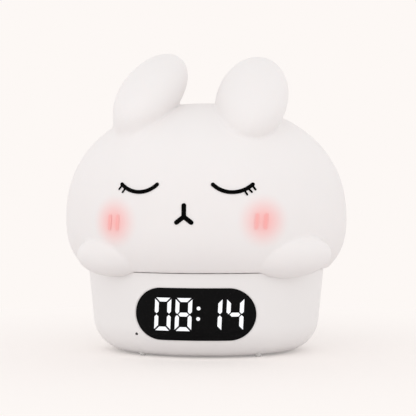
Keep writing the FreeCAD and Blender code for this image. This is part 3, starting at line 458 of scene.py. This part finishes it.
def directRays(tree):
    # 1 for the rays of the camera, of reflections and of clear pieces, which see the plain background
    rays = addNode(tree, "ShaderNodeLightPath").outputs
    seen = rays["Is Camera Ray"]
    for name in ("Is Glossy Ray", "Is Transmission Ray"):
        seen = addNode(tree, "ShaderNodeMath", {0: seen, 1: rays[name]}, operation="MAXIMUM").outputs["Value"]
    return seen


def makeFloor():
    # painted board: its lit surface, which keeps the shadow, fades into the backdrop with distance
    material, tree = newMaterial("painted_board_pale")
    place = addNode(tree, "ShaderNodeTexCoord").outputs["Object"]
    away = addNode(tree, "ShaderNodeVectorMath", {0: place}, operation="LENGTH").outputs["Value"]
    fade = addNode(tree, "ShaderNodeMapRange",
                   {"Value": away, "From Min": stage["fadeStart"], "From Max": stage["fadeEnd"],
                    "To Min": stage["glowShare"]}, interpolation_type="SMOOTHSTEP").outputs["Result"]
    seen = directRays(tree)
    share = addNode(tree, "ShaderNodeMath", {0: fade, 1: seen}, operation="MULTIPLY").outputs["Value"]
    tint = addNode(tree, "ShaderNodeMix",
                   {"A": toLinear(stage["bounce"]), "B": toLinear(stage["floorColour"]), "Factor": seen},
                   data_type="RGBA").outputs["Result"]
    matt = addNode(tree, "ShaderNodeBsdfDiffuse", {"Color": tint}).outputs["BSDF"]
    glow = addNode(tree, "ShaderNodeEmission", {"Color": toLinear(stage["backdrop"])}).outputs["Emission"]
    mix = addNode(tree, "ShaderNodeMixShader", {0: share, 1: matt, 2: glow}).outputs["Shader"]
    addNode(tree, "ShaderNodeOutputMaterial", {"Surface": mix})
    size = stage["floorSize"]
    corners = [(-size, -size, 0), (size, -size, 0), (size, size, 0), (-size, size, 0)]
    mesh = bpy.data.meshes.new("floor")
    mesh.from_pydata(corners, [], [(0, 1, 2, 3)])
    mesh.materials.append(material)
    floor = bpy.data.objects.new("floor", mesh)
    bpy.context.scene.collection.objects.link(floor)


def makeWorld():
    # white light that changes evenly from horizon to zenith, behind a backdrop of plain colour
    world = bpy.data.worlds.new("studio")
    bpy.context.scene.world = world
    world.use_nodes = True
    tree = world.node_tree
    tree.nodes.clear()
    direction = addNode(tree, "ShaderNodeTexCoord").outputs["Generated"]
    height = addNode(tree, "ShaderNodeSeparateXYZ", {"Vector": direction}).outputs["Z"]
    strength = addNode(tree, "ShaderNodeMapRange", {"Value": height, "To Min": stage["horizon"],
                                                    "To Max": stage["zenith"]}).outputs["Result"]
    light = addNode(tree, "ShaderNodeBackground",
                    {"Color": toLinear("FFFFFF"), "Strength": strength}).outputs["Background"]
    backdrop = addNode(tree, "ShaderNodeBackground",
                       {"Color": toLinear(stage["backdrop"]), "Strength": 1.0}).outputs["Background"]
    mix = addNode(tree, "ShaderNodeMixShader", {0: directRays(tree), 1: light, 2: backdrop}).outputs["Shader"]
    addNode(tree, "ShaderNodeOutputWorld", {"Surface": mix})


def makeKey():
    # a square soft box, turned to shine from its place towards its target on the clock
    lamp = bpy.data.lights.new("key", "AREA")
    lamp.size = stage["keySize"]
    lamp.energy = stage["keyPower"]
    holder = bpy.data.objects.new("key", lamp)
    bpy.context.scene.collection.objects.link(holder)
    holder.location = stage["keyPlace"]
    towards = Vector(stage["keyTarget"]) - Vector(stage["keyPlace"])
    holder.rotation_euler = towards.to_track_quat("-Z", "Y").to_euler()


# angles in degrees, lengths in millimetres, clipEnd in metres
view = {"azimuth": 5.6, "pitch": 1.413, "distance": 664.5, "height": 79.0, "aside": 0.886,
        "focal": 129.8, "sensor": 36.0, "clipEnd": 20.0}


def makeCamera():
    # stands a little to the right of the display and looks slightly down, along
    # (-sin azimuth cos pitch, cos azimuth cos pitch, -sin pitch)
    azimuth = math.radians(view["azimuth"])
    pitch = math.radians(view["pitch"])
    right = Vector((math.cos(azimuth), math.sin(azimuth), 0))
    level = Vector((-math.sin(azimuth), math.cos(azimuth), 0))
    forward = level * math.cos(pitch) - Vector((0, 0, math.sin(pitch)))
    place = right * view["aside"] - level * view["distance"]
    place.z = view["height"]
    lens = bpy.data.cameras.new("camera")
    lens.lens = view["focal"]
    lens.sensor_width = view["sensor"]
    lens.clip_end = view["clipEnd"]
    camera = bpy.data.objects.new("camera", lens)
    bpy.context.scene.collection.objects.link(camera)
    camera.location = place * mm
    camera.rotation_euler = forward.to_track_quat("-Z", "Y").to_euler()
    bpy.context.scene.camera = camera


makeFloor()
makeWorld()
makeKey()
makeCamera()
bpy.context.scene.view_settings.view_transform = "Standard"
print("stage set")
